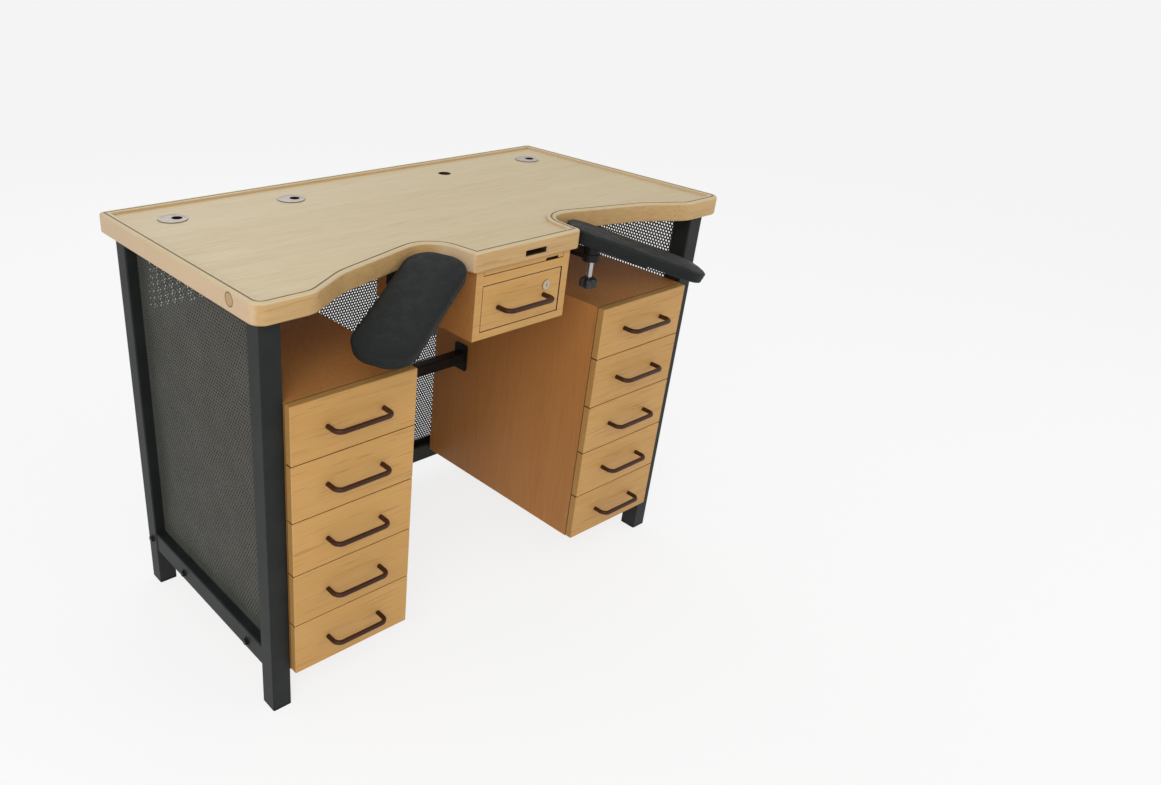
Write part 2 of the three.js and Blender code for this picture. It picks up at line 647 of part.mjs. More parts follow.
sides.forEach(([side, sign]) => {
  const pivot = new THREE.Group();
  pivot.position.set(sign * swivelX, swivelY, 0);
  bench.add(pivot);
  add(pivot, `armrest_bracket_${side}`, swivelBracket(), 'blackPaint');
  add(pivot, `armrest_knob_${side}`, starKnob(), 'blackPlastic');
  const swing = new THREE.Group();
  swing.rotation.z = padTurn[side];
  pivot.add(swing);
  add(swing, `armrest_block_${side}`, swivelBlock(padRoll[side]), 'blackPaint');
  const cushion = add(swing, `armrest_pad_${side}`, padCushion().rotateX(padRoll[side]), 'leatherette');
  cushion.rotation.y = padPitch;
  cushion.position.z = seatHeight;
});

// The origin moves to the floor under the middle of the whole bench, armrests and handles included
const extent = new THREE.Box3().setFromObject(bench, true);
bench.position.y = -(extent.min.y + extent.max.y) / 2;

export default bench;
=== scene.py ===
import json
import math

import bmesh
import bpy
from mathutils import Matrix, Vector

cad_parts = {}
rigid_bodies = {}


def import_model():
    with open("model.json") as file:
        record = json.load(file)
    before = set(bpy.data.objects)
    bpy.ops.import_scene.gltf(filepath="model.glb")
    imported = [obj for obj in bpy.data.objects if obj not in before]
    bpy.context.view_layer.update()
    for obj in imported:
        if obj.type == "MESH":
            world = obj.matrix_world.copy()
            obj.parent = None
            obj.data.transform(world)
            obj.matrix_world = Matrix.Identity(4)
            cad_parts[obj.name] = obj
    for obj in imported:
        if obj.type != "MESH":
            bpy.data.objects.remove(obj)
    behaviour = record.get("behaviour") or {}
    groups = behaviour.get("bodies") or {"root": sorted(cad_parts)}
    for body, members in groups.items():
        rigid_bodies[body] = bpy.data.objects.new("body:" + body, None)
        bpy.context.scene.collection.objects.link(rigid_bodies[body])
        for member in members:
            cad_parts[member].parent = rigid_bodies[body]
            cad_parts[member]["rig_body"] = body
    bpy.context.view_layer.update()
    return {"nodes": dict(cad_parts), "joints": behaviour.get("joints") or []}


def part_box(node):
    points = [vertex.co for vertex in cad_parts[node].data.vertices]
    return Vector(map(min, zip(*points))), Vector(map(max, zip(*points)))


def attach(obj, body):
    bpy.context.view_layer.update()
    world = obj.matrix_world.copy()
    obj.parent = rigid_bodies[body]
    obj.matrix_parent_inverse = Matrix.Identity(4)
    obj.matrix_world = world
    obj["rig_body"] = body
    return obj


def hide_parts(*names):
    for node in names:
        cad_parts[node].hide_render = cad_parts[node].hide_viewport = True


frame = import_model()
nodes = frame["nodes"]
scene = bpy.context.scene
sides = {"left": -1, "right": 1}
touch = 1e-6  # points nearer than this are one point
cutPast = 0.01  # how far a cutter stands out of the piece it cuts

topLow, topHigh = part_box("worktop")
benchMiddle = (topLow + topHigh) / 2  # the middle of the worktop, seen from above
print("frame loaded:", len(nodes), "nodes")


# Small helpers for working in edit mode, as by hand

def deselectAll():
    if bpy.context.object and bpy.context.object.mode != "OBJECT":
        bpy.ops.object.mode_set(mode="OBJECT")
    bpy.ops.object.select_all(action="DESELECT")


def takeUp(piece):
    deselectAll()
    piece.select_set(True)
    bpy.context.view_layer.objects.active = piece


def newPiece(name):
    piece = bpy.context.object
    piece.name = name
    piece.data.name = name
    return piece


def selectEdges(test):
    mesh = bmesh.from_edit_mesh(bpy.context.object.data)
    bpy.ops.mesh.select_mode(type="EDGE")
    bpy.ops.mesh.select_all(action="DESELECT")
    for edge in mesh.edges:
        edge.select_set(test(edge))
    bmesh.update_edit_mesh(bpy.context.object.data)


def applyModifier(piece, kind, **settings):
    takeUp(piece)
    modifier = piece.modifiers.new(kind.title(), kind)
    for key, value in settings.items():
        setattr(modifier, key, value)
    bpy.ops.object.modifier_apply(modifier=modifier.name)


def cutAway(piece, cutters):
    for cutter in cutters:
        applyModifier(piece, "BOOLEAN", operation="DIFFERENCE", solver="EXACT", object=cutter)
        bpy.data.objects.remove(cutter)


def settle(piece, angle=35):
    takeUp(piece)
    bpy.ops.object.transform_apply(location=True, rotation=True, scale=True)
    bpy.ops.object.mode_set(mode="EDIT")
    bpy.ops.mesh.select_all(action="SELECT")
    bpy.ops.mesh.remove_doubles(threshold=touch)
    bpy.ops.mesh.normals_make_consistent(inside=False)
    bpy.ops.object.mode_set(mode="OBJECT")
    bpy.ops.object.shade_smooth_by_angle(angle=math.radians(angle))
    return piece


def joinPieces(name, pieces):
    deselectAll()
    for piece in pieces:
        piece.select_set(True)
    bpy.context.view_layer.objects.active = pieces[0]
    bpy.ops.object.join()
    return newPiece(name)


def finishPiece(piece, material, body, slot, *replaced):
    piece.data.materials.clear()
    piece.data.materials.append(material)
    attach(piece, body)
    if replaced:
        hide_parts(*replaced)


def bodyOf(node):
    return nodes[node]["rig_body"]


# Outlines and lofts: one outline, drawn in and lifted ring by ring

smallestBow = 0.0008


def filletOutline(corners, inset=0.0, steps=8):
    count = len(corners)
    edges = []
    for i, (x, y, _) in enumerate(corners):
        nextX, nextY, _ = corners[(i + 1) % count]
        along = Vector((nextX - x, nextY - y)).normalized()
        inward = Vector((-along.y, along.x))
        edges.append((along, inward, Vector((x, y)) + inward * inset))
    points = []
    for i, (_, _, radius) in enumerate(corners):
        before, beforeIn, beforeStart = edges[i - 1]
        after, _, afterStart = edges[i]
        bend = before.cross(after)
        point = beforeStart + before * ((afterStart - beforeStart).cross(after) / bend)
        turn = math.atan2(bend, before.dot(after))
        bow = max(radius - inset, smallestBow) if turn > 0 else radius + inset
        enter = point - before * (bow * math.tan(abs(turn) / 2))
        centre = enter + beforeIn * math.copysign(bow, turn)
        start = math.atan2(enter.y - centre.y, enter.x - centre.x)
        for k in range(steps + 1):
            angle = start + turn * k / steps
            points.append((centre.x + bow * math.cos(angle), centre.y + bow * math.sin(angle)))
    return points


def oblong(length, width, radius):
    x, y = length / 2, width / 2
    return [(-x, -y, radius), (x, -y, radius), (x, y, radius), (-x, y, radius)]


def loftRings(name, rings):
    deselectAll()
    bpy.ops.mesh.primitive_circle_add(vertices=len(rings[0]), radius=1, fill_type="NGON")
    piece = newPiece(name)
    bpy.ops.object.mode_set(mode="EDIT")
    bpy.ops.mesh.select_mode(type="FACE")
    bpy.ops.mesh.select_all(action="SELECT")
    for level, ring in enumerate(rings):
        if level:
            bpy.ops.mesh.extrude_region_move()
        mesh = bmesh.from_edit_mesh(piece.data)
        lid = [face for face in mesh.faces if face.select][0]
        for corner, place in zip(ringOrder(lid, level, rings), ring):
            corner.co = place
        bmesh.update_edit_mesh(piece.data)
    bpy.ops.object.mode_set(mode="OBJECT")
    return settle(piece)


def ringOrder(lid, level, rings):
    corners = list(lid.verts)
    if level == 0:
        return corners
    first = min(range(len(corners)), key=lambda k: (corners[k].co - Vector(rings[level - 1][0])).length)
    return corners[first:] + corners[:first]


def roundRings(profile, steps):
    turn = 2 * math.pi / steps
    return [[(r * math.cos(k * turn), r * math.sin(k * turn), z) for k in range(steps)] for r, z in profile]


def quarterArc(share):
    return 1 - math.cos(share * math.pi / 2), math.sin(share * math.pi / 2)


# Shader values that take part in sums, and one method for every other node

class Value:
    def __init__(self, finish, socket):
        self.finish = finish
        self.socket = socket

    def mix(self, operation, other, swapped=False):
        first, second = (other, self) if swapped else (self, other)
        return self.finish.node("ShaderNodeMath", {"operation": operation}, {0: first, 1: second})

    def __add__(self, other):
        return self.mix("ADD", other)

    def __sub__(self, other):
        return self.mix("SUBTRACT", other)

    def __rsub__(self, other):
        return self.mix("SUBTRACT", other, True)

    def __mul__(self, other):
        return self.mix("MULTIPLY", other)

    def __pow__(self, other):
        return self.mix("POWER", other)

    def __lt__(self, other):
        return self.mix("LESS_THAN", other)

    def __gt__(self, other):
        return self.mix("GREATER_THAN", other)

    def __abs__(self):
        return self.finish.node("ShaderNodeMath", {"operation": "ABSOLUTE"}, {0: self})

    __radd__ = __add__
    __rmul__ = __mul__


class Finish:
    def __init__(self, name, **shader):
        self.material = bpy.data.materials.new(name)
        self.material.use_nodes = True
        self.tree = self.material.node_tree
        self.shader = self.tree.nodes["Principled BSDF"]
        for key, value in shader.items():
            self.shader.inputs[key.replace("_", " ")].default_value = value

    def node(self, kind, settings=None, sockets=None, output=0):
        made = self.tree.nodes.new(kind)
        for key, value in (settings or {}).items():
            if key == "stops":
                self.setStops(made.color_ramp, value)
            else:
                setattr(made, key, value)
        for key, value in (sockets or {}).items():
            self.feed(made.inputs[key], value)
        return Value(self, made.outputs[output])

    def setStops(self, ramp, stops):
        while len(ramp.elements) < len(stops):
            ramp.elements.new(0.5)
        for element, (place, colour) in zip(ramp.elements, stops):
            element.position = place
            element.color = (*colour, 1)

    def feed(self, socket, value):
        if isinstance(value, Value):
            self.tree.links.new(value.socket, socket)
        elif hasattr(socket.default_value, "__len__") and len(socket.default_value) == 4:
            socket.default_value = (*value, 1)
        else:
            socket.default_value = value

    def place(self, scale=(1, 1, 1), turn=(0, 0, 0), shift=(0, 0, 0)):
        spot = self.node("ShaderNodeTexCoord", output="Object")
        sockets = {"Vector": spot, "Location": shift, "Rotation": turn, "Scale": scale}
        return self.node("ShaderNodeMapping", None, sockets)

    def split(self, vector):
        parts = self.node("ShaderNodeSeparateXYZ", None, {0: vector})
        return [Value(self, out) for out in parts.socket.node.outputs]

    def axes(self):
        return self.split(self.place())

    def normal(self):
        return self.split(self.node("ShaderNodeNewGeometry", output="Normal"))

    def noise(self, where, scale=1.0, detail=3.0, roughness=0.5):
        sockets = {"Vector": where, "Scale": scale, "Detail": detail, "Roughness": roughness}
        return self.node("ShaderNodeTexNoise", None, sockets)

    def spread(self, value, low, high, toLow=0.0, toHigh=1.0):
        sockets = {"Value": value, "From Min": low, "From Max": high, "To Min": toLow, "To Max": toHigh}
        return self.node("ShaderNodeMapRange", {"interpolation_type": "SMOOTHSTEP"}, sockets)

    def blend(self, share, first, second):
        sockets = {0: share, 6: first, 7: second}
        return self.node("ShaderNodeMix", {"data_type": "RGBA"}, sockets, output=2)

    def bump(self, height, distance, strength=1.0):
        sockets = {"Height": height, "Distance": distance, "Strength": strength}
        self.feed(self.shader.inputs["Normal"], self.node("ShaderNodeBump", None, sockets))

    def set(self, **links):
        for key, value in links.items():
            self.feed(self.shader.inputs[key.replace("_", " ")], value)
        return self.material


# Wood: growth bands, fine streaks and short flecks, all drawn out along the grain

woodLook = {
    "bandScale": 9.0, "streakScale": 150.0, "fleckScale": 260.0, "stretch": 0.045, "bandShare": 0.6,
    "stops": (0.28, 0.52, 0.78), "fleckRange": (0.6, 0.72), "fleckShare": 0.28,
    "roughness": (0.42, 0.56), "relief": 0.00025,
}


def woodGrain(finish, grain, shift, tones, fleckTone):
    look = woodLook
    stretch = tuple(look["stretch"] if axis == grain else 1 for axis in "xyz")
    where = finish.place(stretch, (0, 0, 0), shift)
    bands = finish.noise(where, look["bandScale"], 4.0, 0.55)
    streaks = finish.noise(where, look["streakScale"], 3.0, 0.6)
    flecks = finish.noise(where, look["fleckScale"], 1.0, 0.4)
    growth = bands * look["bandShare"] + streaks * (1 - look["bandShare"])
    stops = list(zip(look["stops"], tones))  # pale, middle, deep
    colour = finish.node("ShaderNodeValToRGB", {"stops": stops}, {0: growth})
    fleckMask = finish.spread(flecks, *look["fleckRange"])
    colour = finish.blend(fleckMask * look["fleckShare"], colour, fleckTone)
    rough = finish.spread(streaks, 0.3, 0.7, *look["roughness"])
    finish.bump(streaks * 0.7 - fleckMask * 0.5, look["relief"], 0.5)
    return colour, rough


# Veneer tones: the side tones are a painted-shade copy of the front tones, and the gap colour is painted
# shadow
veneerLook = {
    "front": [(0.60, 0.345, 0.115), (0.565, 0.312, 0.095), (0.52, 0.275, 0.075)],
    "side": [(0.51, 0.230, 0.068), (0.470, 0.203, 0.055), (0.42, 0.170, 0.042)],
    "fleck": (0.28, 0.115, 0.03), "gap": (0.035, 0.017, 0.006), "frontNormal": (-0.72, -0.45),
}


def shaded(tones, shade):
    return [tuple(shade * c for c in tone) for tone in tones]


# Painted shade: a board's broad sides take darker, redder tones than its front edge, and the gaps beside it
# are painted dark as shadow
def veneerFinish(name, grain="z", shift=(0, 0, 0), shade=1.0, sideShade=1.0, gaps=None, sideTones="side"):
    finish = Finish(name, Coat_Weight=0.05, Coat_Roughness=0.35, Specular_IOR_Level=0.3)
    pale, rough = woodGrain(finish, grain, shift, shaded(veneerLook["front"], shade), veneerLook["fleck"])
    deep, _ = woodGrain(finish, grain, shift, shaded(veneerLook[sideTones], sideShade), veneerLook["fleck"])
    _, across, up = finish.normal()
    front = finish.spread(across, *veneerLook["frontNormal"], 1.0, 0.0)
    colour = finish.blend(front, deep, pale)
    if gaps:
        spot = dict(zip("xyz", finish.axes()), up=up)
        colour = finish.blend(gaps(front, spot), colour, veneerLook["gap"])
    return finish.set(Base_Color=colour, Roughness=rough)


# Painted shade in gaps: where each piece is painted dark as shadow, one function for each piece that has gaps
# beside it

gapLook = {
    "housingWall": 0.018, "past": 0.0006, "frontDeep": 0.019, "frontLine": 0.0011, "topEdge": 0.03,
    "level": 0.9, "trayLine": 0.0015, "notchDeep": 0.0096, "notchHigh": 0.0068,
}


# Painted shade on the inner walls of the centre housing's drawer bay
def housingGapShade(front, spot):
    low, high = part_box("centre_housing")
    bayHalf = (high.x - low.x) / 2 - gapLook["housingWall"]
    inBay = abs(spot["x"] - (low.x + high.x) / 2) < bayHalf + gapLook["past"]
    return inBay * (spot["z"] > low.z + gapLook["past"]) * (1 - front)


# Painted shade above and below a pedestal's drawer front, apart from the top edge of the highest one
def leafGapShade(front, spot):
    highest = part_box("pedestal_left")[1].z
    level = abs(spot["up"]) > gapLook["level"]
    return (1 - front) * level * (spot["z"] < highest - gapLook["topEdge"])


# A painted shadow line round the centre drawer's front, and painted shade on its sides near the front
def drawerGapShade(front, spot):
    low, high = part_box("centre_drawer")
    middle, reach = (low + high) / 2, (high - low) / 2
    ends = abs(spot["x"] - middle.x) > reach.x - gapLook["frontLine"]
    edges = abs(spot["z"] - middle.z) > reach.z - gapLook["frontLine"]
    return front * (ends + edges) + (1 - front) * (spot["y"] < low.y + gapLook["frontDeep"])


# A painted shadow line along the tray's lower front edge, and painted shade inside its notch
def trayGapShade(front, spot):
    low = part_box("pull_out_tray")[0]
    line = front * (spot["z"] < low.z + gapLook["trayLine"])
    notch = (spot["y"] < low.y + gapLook["notchDeep"]) * (spot["z"] < low.z + gapLook["notchHigh"])
    return line + (1 - front) * notch


# Worktop tones: the edge tones are painted shade on the sides, the end tone is painted light on the end
# faces, and the groove, slot and hole tones are painted shade in those hollows
topLook = {
    "tones": [(0.675, 0.555, 0.345), (0.640, 0.515, 0.305), (0.595, 0.465, 0.262)],
    "shadedEdgeTones": [(0.62, 0.42, 0.20), (0.56, 0.36, 0.155), (0.47, 0.28, 0.105)],
    "fleck": (0.42, 0.27, 0.12), "litEndTone": (0.70, 0.53, 0.36), "staveTone": (0.80, 0.68, 0.46),
    "grooveShadowTone": (0.15, 0.072, 0.022), "plugTone": (0.38, 0.21, 0.075), "plugRim": (0.12, 0.06, 0.02),
    "slotShadowTone": (0.055, 0.028, 0.010), "holeShadowTone": (0.020, 0.011, 0.005),
    "plugHeight": 0.016, "plugBehind": 0.082, "plugRadius": 0.012, "plugLine": 0.0017,
    "plugShare": 0.6, "rimShare": 0.85, "grooveShare": 0.85, "endShare": 0.65,
    "staveWidth": 0.086, "staveShade": 0.10, "past": 0.001, "endPast": 0.0005,
}
pinSlot = {
    "offset": 0.018, "width": 0.058, "height": 0.012, "depth": 0.060, "belowTop": 0.024,
    "start": 0.003,
}
cableHole = {"x": 0.215, "radius": 0.015, "bore": 0.0273, "steps": 40}
lipGroove = {
    "inset": 0.0078, "width": 0.0042, "wall": 0.0006, "depth": 0.001,
    "near": 0.0001, "level": 0.985, "steep": 0.6,
}
cableY = sum(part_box("grommet_left"), Vector()).y / 2


# The fine line on the lip is painted shade in the groove: its floor faces straight up, and its walls are
# steeper than the rounded edge
def grooveShadowMask(depth, up):
    near = lipGroove["near"]
    facing = (up > lipGroove["level"]) + (up < lipGroove["steep"])
    return (depth > near) * (depth < lipGroove["depth"] + near) * facing


def plugMasks(finish, x, y, z):
    plugY = y - (topLow.y + topLook["plugBehind"])
    plugZ = z - (topHigh.z - topLook["plugHeight"])
    reach = (plugY * plugY + plugZ * plugZ) ** 0.5
    rim = finish.spread((reach - topLook["plugRadius"]) ** 2.0, 0.0, topLook["plugLine"] ** 2, 1.0, 0.0)
    onEnd = x < topLow.x + topLook["endPast"]
    inside = reach < topLook["plugRadius"]
    return onEnd * inside * topLook["plugShare"], onEnd * rim * topLook["rimShare"]


def slotMask(x, y, depth):
    past = topLook["past"]
    wide = abs(x - pinSlot["offset"]) < pinSlot["width"] / 2 + past
    high = abs(depth - pinSlot["belowTop"]) < pinSlot["height"] / 2 + past
    return wide * high * (y > topLow.y + pinSlot["start"]) * (y < topLow.y + pinSlot["depth"] + past)


def holeMask(x, y, up):
    holeX, holeY = x - cableHole["x"], y - cableY
    return (holeX * holeX + holeY * holeY < (cableHole["radius"] + topLook["past"]) ** 2) * (up < 0.5)


def worktopFinish():
    look = topLook
    finish = Finish("beechTop", Coat_Weight=0.06, Coat_Roughness=0.4, Specular_IOR_Level=0.35)
    x, y, z = finish.axes()
    across, _, up = finish.normal()
    depth = topHigh.z - z
    colour, rough = woodGrain(finish, "x", (0, 0, 0), look["tones"], look["fleck"])
    staves = finish.node("ShaderNodeMath", {"operation": "FLOOR"}, {0: y * (1 / look["staveWidth"])})
    toss = finish.node("ShaderNodeTexWhiteNoise", {"noise_dimensions": "1D"}, {"W": staves})
    colour = finish.blend(toss * look["staveShade"], colour, look["staveTone"])
    # Painted shade: the worktop's sides take darker, more orange tones than its top
    shadedEdgeColour, _ = woodGrain(finish, "x", (0.3, 0.2, 0.1), look["shadedEdgeTones"], veneerLook["fleck"])
    # Painted light: the end faces take a paler tone
    onEnds = finish.spread(across * across, 0.3, 0.9) * look["endShare"]
    shadedEdgeColour = finish.blend(onEnds, shadedEdgeColour, look["litEndTone"])
    plugInside, plugRim = plugMasks(finish, x, y, z)
    tint = finish.blend(finish.spread(up, 0.1, 0.6), shadedEdgeColour, colour)
    # Painted shade in the lip's groove
    tint = finish.blend(grooveShadowMask(depth, up) * look["grooveShare"], tint, look["grooveShadowTone"])
    tint = finish.blend(plugInside, tint, look["plugTone"])
    tint = finish.blend(plugRim, tint, look["plugRim"])
    # Painted shade inside the bench-pin slot
    tint = finish.blend(slotMask(x, y, depth), tint, look["slotShadowTone"])
    # Painted shade down the wire hole
    tint = finish.blend(holeMask(x, y, up), tint, look["holeShadowTone"])
    return finish.set(Base_Color=tint, Roughness=rough)


# Powder coat: an orange-peel skin, a little paler where it is rubbed, dark at a leg's foot cap

coatLook = {
    "peel": 900.0, "patches": 14.0, "rubbed": 0.6, "footLine": 0.007, "footShade": 0.22, "relief": 0.00012,
}


def coatFinish(name, colour, pale, roughness, footLine=0.0):
    look = coatLook
    finish = Finish(name, Specular_IOR_Level=0.2)
    peel = finish.noise(finish.place(), look["peel"], 2.0)
    patches = finish.noise(finish.place(), look["patches"], 3.0)
    tint = finish.blend(finish.spread(patches, 0.35, 0.7) * look["rubbed"], colour, pale)
    if footLine:
        height = finish.axes()[2]
        tint = finish.blend(height < footLine, tint, tuple(look["footShade"] * c for c in colour))
    finish.bump(peel, look["relief"], 0.35)
    rough = finish.spread(peel, 0.3, 0.7, roughness - 0.06, roughness + 0.08)
    return finish.set(Base_Color=tint, Roughness=rough)


# Leatherette: fine pebbles, and wide creases that are a little worn

leatherLook = {
    "pebbles": 620.0, "creases": 45.0, "worn": 0.35, "relief": 0.0003, "roughness": (0.5, 0.66),
    "low": (0.006, 0.0078, 0.0076), "high": (0.0125, 0.0160, 0.0152), "wornTone": (0.022, 0.026, 0.0245),
}


def leatherFinish():
    look = leatherLook
    finish = Finish("leatherette", Specular_IOR_Level=0.18)
    cells = {"Vector": finish.place(), "Scale": look["pebbles"], "Randomness": 0.9}
    pebbles = finish.node("ShaderNodeTexVoronoi", {"feature": "DISTANCE_TO_EDGE"}, cells)
    creases = finish.noise(finish.place((1, 1, 1), (0, 0, 0.5)), look["creases"], 4.0)
    grain = finish.spread(pebbles, 0.0, 0.25)
    tint = finish.blend(grain, look["low"], look["high"])
    tint = finish.blend(finish.spread(creases, 0.55, 0.75) * look["worn"], tint, look["wornTone"])
    finish.bump(grain * 0.7 + creases * 0.3, look["relief"], 0.6)
    return finish.set(Base_Color=tint, Roughness=finish.spread(creases, 0.3, 0.7, *look["roughness"]))


# Plating: brushed along the rod, with duller smears

platedLook = {
    "brushed": 1200.0, "drawnOut": 0.06, "smears": 60.0, "smearShare": 0.25, "dull": 0.75, "relief": 0.00004,
}


def platedFinish(name, colour, roughness):
    look = platedLook
    finish = Finish(name, Metallic=1.0)
    brushed = finish.noise(finish.place((1, 1, look["drawnOut"])), look["brushed"], 2.0)
    smears = finish.noise(finish.place(), look["smears"], 3.0)
    dull = tuple(look["dull"] * c for c in colour)
    tint = finish.blend(finish.spread(smears, 0.4, 0.75) * look["smearShare"], colour, dull)
    finish.bump(brushed, look["relief"], 0.3)
    return finish.set(Base_Color=tint, Roughness=finish.spread(smears, 0.3, 0.7, roughness, roughness + 0.12))


# Grommet plastic: satin silver on the face, with painted shade: black round the flange wall and down the wire
# hole

capLook = {
    "haze": 90.0, "hazeShare": 0.5, "faceDepth": 0.005, "relief": 0.0001, "roughness": (0.34, 0.46),
    "silver": (0.47, 0.41, 0.36), "dull": (0.39, 0.345, 0.31), "black": (0.010, 0.009, 0.008),
}


def capFinish():
    look = capLook
    finish = Finish("silverCap", Metallic=0.25, Specular_IOR_Level=0.35)
    height, up = finish.axes()[2], finish.normal()[2]
    haze = finish.noise(finish.place(), look["haze"], 3.0)
    silver = finish.blend(finish.spread(haze, 0.35, 0.7) * look["hazeShare"], look["silver"], look["dull"])
    # Painted shade: everything but the upward face near the top is black
    face = finish.spread(up, 0.4, 0.8) * (height > topHigh.z - look["faceDepth"])
    finish.bump(haze, look["relief"], 0.3)
    rough = finish.spread(haze, 0.3, 0.7, *look["roughness"])
    return finish.set(Base_Color=finish.blend(face, look["black"], silver), Roughness=rough)


# Knob plastic: a fine moulded skin, paler in patches

plasticLook = {"skin": 700.0, "haze": 35.0, "hazeShare": 0.4, "paler": 1.5, "lift": 0.004, "relief": 0.0001}


def plasticFinish(name, colour, roughness):
    look = plasticLook
    finish = Finish(name)
    skin = finish.noise(finish.place(), look["skin"], 2.0)
    haze = finish.noise(finish.place(), look["haze"], 3.0)
    pale = tuple(look["paler"] * c + look["lift"] for c in colour)
    tint = finish.blend(finish.spread(haze, 0.35, 0.7) * look["hazeShare"], colour, pale)
    finish.bump(skin, look["relief"], 0.3)
    return finish.set(Base_Color=tint, Roughness=finish.spread(haze, 0.3, 0.7, roughness, roughness + 0.1))


slateTones = (0.011, 0.0134, 0.0123), (0.018, 0.021, 0.0193)
beechTop = worktopFinish()
# Painted shade: the pedestals' front-facing faces are darkened to 0.3, so the gaps between the drawer fronts
# read dark
veneerSide = veneerFinish("veneerSide", "z", (0.4, 0.1, 0.0), 0.3)
veneerHousing = veneerFinish("veneerHousing", "x", (0.1, 0.7, 0.2), 1.0, 1.0, housingGapShade)
veneerTray = veneerFinish("veneerTray", "x", (0.1, 0.7, 0.2), 1.0, 1.0, trayGapShade)
plywood = veneerFinish("plywood", "y", (0.2, 0.3, 0.9), 0.95)
slatePaint = coatFinish("slatePaint", *slateTones, 0.5)
legPaint = coatFinish("legPaint", *slateTones, 0.5, coatLook["footLine"])
# Painted light: the side sheets take a paler paint than the slate paint of the rear sheet
litSheetPaint = coatFinish("litSheetPaint", (0.062, 0.065, 0.056), (0.084, 0.087, 0.076), 0.5)
blackPaint = coatFinish("blackPaint", (0.010, 0.0095, 0.009), (0.018, 0.017, 0.016), 0.42)
brownRod = coatFinish("brownRod", (0.046, 0.0145, 0.0065), (0.064, 0.022, 0.010), 0.36)
leatherette = leatherFinish()
lockChrome = platedFinish("lockChrome", (0.50, 0.44, 0.32), 0.24)
rodChrome = platedFinish("rodChrome", (0.46, 0.46, 0.45), 0.2)
silverCap = capFinish()
blackPlastic = plasticFinish("blackPlastic", (0.012, 0.0115, 0.011), 0.45)
print("finishes made:", len(bpy.data.materials))


# Camera at the photograph's viewing angle, measured from the middle of the worktop

cameraPlace = {
    "azimuth": -38.186, "elevation": 28.922, "roll": -1.662, "from": (-1.2774, -1.4860, 1.4189),
    "lens": 29.075, "sensor": 36.0, "shiftX": 0.172, "shiftY": 0.0329,
}


def addCamera():
    spot = cameraPlace
    azimuth, elevation, roll = (math.radians(spot[k]) for k in ("azimuth", "elevation", "roll"))
    flat = math.cos(elevation)
    back = Vector((math.sin(azimuth) * flat, -math.cos(azimuth) * flat, math.sin(elevation)))
    right = Vector((0, 0, 1)).cross(back).normalized()
    up = back.cross(right)
    tiltedRight = right * math.cos(roll) - up * math.sin(roll)
    tiltedUp = right * math.sin(roll) + up * math.cos(roll)
    lens = bpy.data.cameras.new("camera")
    lens.lens, lens.sensor_width = spot["lens"], spot["sensor"]
    lens.shift_x, lens.shift_y = spot["shiftX"], spot["shiftY"]
    camera = bpy.data.objects.new("camera", lens)
    scene.collection.objects.link(camera)
    turned = Matrix((tiltedRight, tiltedUp, back)).transposed().to_4x4()
    place = Vector(spot["from"]) + Vector((benchMiddle.x, benchMiddle.y, 0))
    camera.matrix_world = Matrix.Translation(place) @ turned
    scene.camera = camera
    scene.view_settings.view_transform = "Standard"


# Floor, sky and lamps: a pale studio

studio = {
    "floor": 120.0, "floorColour": (0.93, 0.93, 0.925), "fade": 0.96, "dust": 0.25,
    "sky": 0.55, "seenWhite": 0.8, "seenSky": 0.905, "aim": (0, 0, 0.5),
}


# 1 where the camera sees a surface, directly or in a mirror
def seenRays(tree):
    path = tree.nodes.new("ShaderNodeLightPath")
    seen = path.outputs["Is Camera Ray"]
    for kind in ("Is Glossy Ray", "Is Transmission Ray"):
        either = tree.nodes.new("ShaderNodeMath")
        either.operation = "MAXIMUM"
        tree.links.new(seen, either.inputs[0])
        tree.links.new(path.outputs[kind], either.inputs[1])
        seen = either.outputs[0]
    return seen


def addFloor():
    deselectAll()
    bpy.ops.mesh.primitive_plane_add(size=studio["floor"])
    floor = newPiece("floor")
    bpy.ops.object.mode_set(mode="EDIT")
    bpy.ops.mesh.subdivide(number_cuts=3)
    bpy.ops.object.mode_set(mode="OBJECT")
    finish = Finish("floorPaper", Roughness=0.9, Specular_IOR_Level=0.1)
    dust = finish.noise(finish.place(), 3.0, 3.0)
    faded = tuple(studio["fade"] * c for c in studio["floorColour"])
    colour = finish.blend(dust * studio["dust"], studio["floorColour"], faded)
    floor.data.materials.append(finish.set(Base_Color=colour))
    paper = Value(finish, finish.shader.outputs[0])
    white = finish.node("ShaderNodeEmission")
    share = Value(finish, seenRays(finish.tree)) * studio["seenWhite"]
    chosen = finish.node("ShaderNodeMixShader", None, {0: share, 1: paper, 2: white})
    finish.feed(finish.tree.nodes["Material Output"].inputs[0], chosen)


def addSky():
    world = bpy.data.worlds.new("studioSky")
    scene.world = world
    world.use_nodes = True
    tree = world.node_tree
    sky = tree.nodes["Background"]
    sky.inputs["Color"].default_value = (1, 1, 1, 1)
    sky.inputs["Strength"].default_value = studio["sky"]
    bright = tree.nodes.new("ShaderNodeBackground")
    chosen = tree.nodes.new("ShaderNodeMixShader")
    bright.inputs["Color"].default_value = (1, 1, 1, 1)
    bright.inputs["Strength"].default_value = studio["seenSky"]
    tree.links.new(seenRays(tree), chosen.inputs[0])
    tree.links.new(sky.outputs[0], chosen.inputs[1])
    tree.links.new(bright.outputs[0], chosen.inputs[2])
    tree.links.new(chosen.outputs[0], tree.nodes["World Output"].inputs[0])


